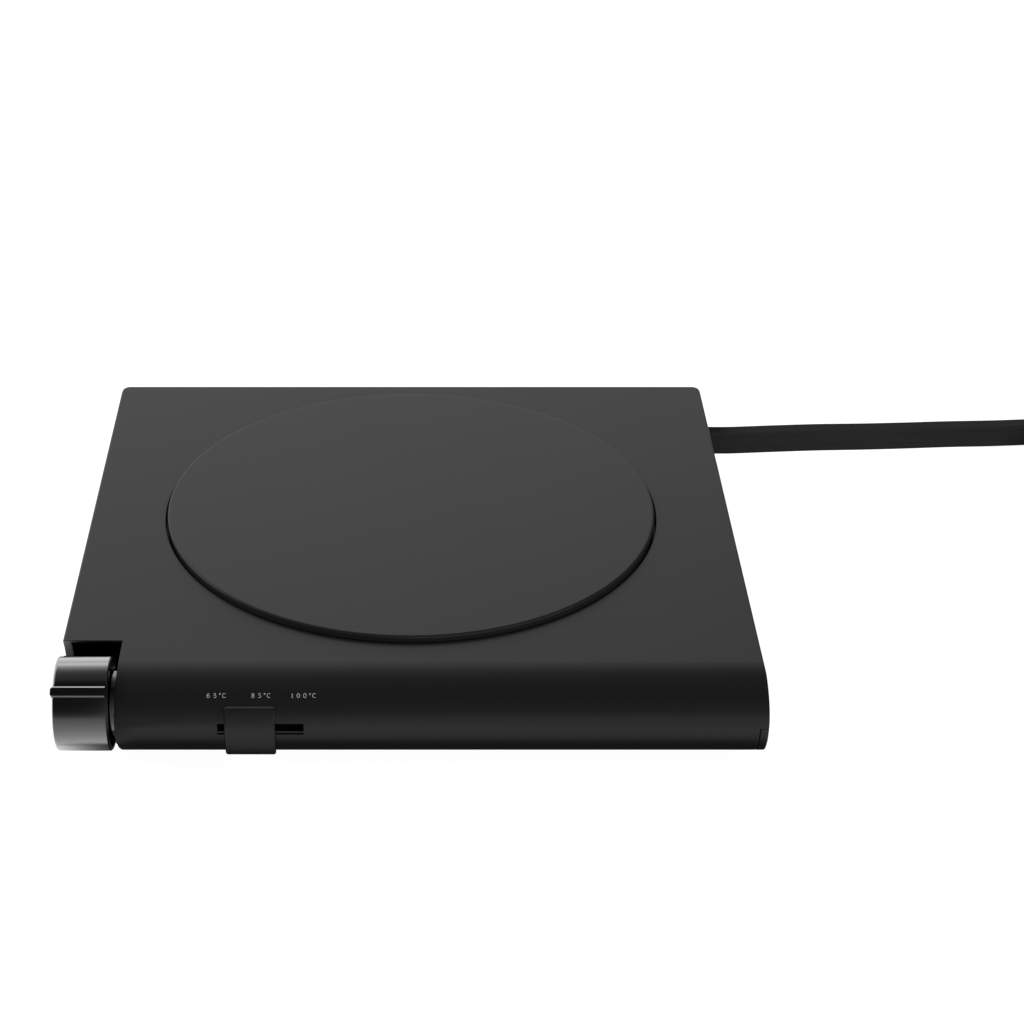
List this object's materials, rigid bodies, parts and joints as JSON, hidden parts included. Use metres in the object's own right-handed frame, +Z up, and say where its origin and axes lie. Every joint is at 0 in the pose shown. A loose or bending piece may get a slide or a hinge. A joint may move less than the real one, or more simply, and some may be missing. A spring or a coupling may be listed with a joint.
{
  "type": "electric mug warmer",
  "caption": "Flat square electric mug warmer with a round heating plate, a rotary power knob, a sliding temperature selector and a coiled mains lead with a flat plug.",
  "frame": {"origin": "on the table, under the middle of the square base (feet stand on z = 0)", "axes": "+X to the user's right along the rounded front edge, +Y from the rounded front edge to the back, +Z up"},
  "size_m": [0.2938, 0.1434, 0.0193],
  "materials": {
    "matt_black_plastic": "matt",
    "coated_plate": "satin non-stick coating on aluminium",
    "dark_chrome": "polished, smoky",
    "black_plastic": "satin",
    "black_rubber": "matt",
    "red_silicone": "matt",
    "steel": "plain",
    "nickel": "nickel plating",
    "brass": "plain",
    "mica": "pressed mica sheet",
    "fibre_felt": "pressed ceramic fibre",
    "board_green": "solder resist",
    "component_blue": "moulded case",
    "component_red": "dipped case",
    "terminal_green": "moulded case",
    "switch_grey": "moulded case",
    "natural_plastic": "plain",
    "white_insulation": "silicone sleeve",
    "brown_insulation": "wire insulation"
  },
  "bodies": {
    "base": {"top_shell": "matt_black_plastic", "bottom_cover": "matt_black_plastic", "cover_screws": "steel", "rubber_feet": "black_rubber", "heating_plate": "coated_plate", "plate_seal": "red_silicone", "plate_clamps": "steel", "plate_screws": "steel", "heater_element": "mica", "insulation_pad": "fibre_felt", "heat_shield": "steel", "shield_screws": "steel", "temperature_sensor": "brass", "thermal_fuse": "steel", "sensor_clip": "steel", "sensor_leads": "white_insulation", "control_board": "board_green", "board_screws": "steel", "relay": "component_blue", "film_capacitor": "component_red", "terminal_block": "terminal_green", "slide_switch": "switch_grey", "rotary_switch": "switch_grey", "knob_collar": "dark_chrome", "cord_gland": "black_rubber", "cord_tail": "black_rubber", "cord_clamp": "steel", "clamp_screws": "steel", "mains_leads": "brown_insulation", "heater_leads": "white_insulation", "switch_leads": "white_insulation", "power_cord": "black_rubber", "cord_coil": "black_rubber", "cord_ties": "black_plastic", "plug_lead": "black_rubber", "plug_body": "black_plastic", "plug_pins": "nickel"},
    "knob": {"knob_sleeve": "dark_chrome", "knob_core": "black_plastic", "knob_pointer": "black_plastic", "switch_shaft": "steel", "switch_rotor": "brass"},
    "slider": {"slider_cap": "matt_black_plastic", "slider_carriage": "black_plastic", "slider_screw": "steel", "slide_lever": "natural_plastic"}
  },
  "joints": [
    {"name": "knob_turn", "type": "hinge", "parent": "base", "child": "knob", "pos_m": [-0.06, -0.0532, 0.0106], "axis": [1, 0, 0], "range_deg": [-45, 45]},
    {"name": "slider_slide", "type": "slide", "parent": "base", "child": "slider", "axis": [1, 0, 0], "range_m": [-0.0043, 0.0081]}
  ]
}
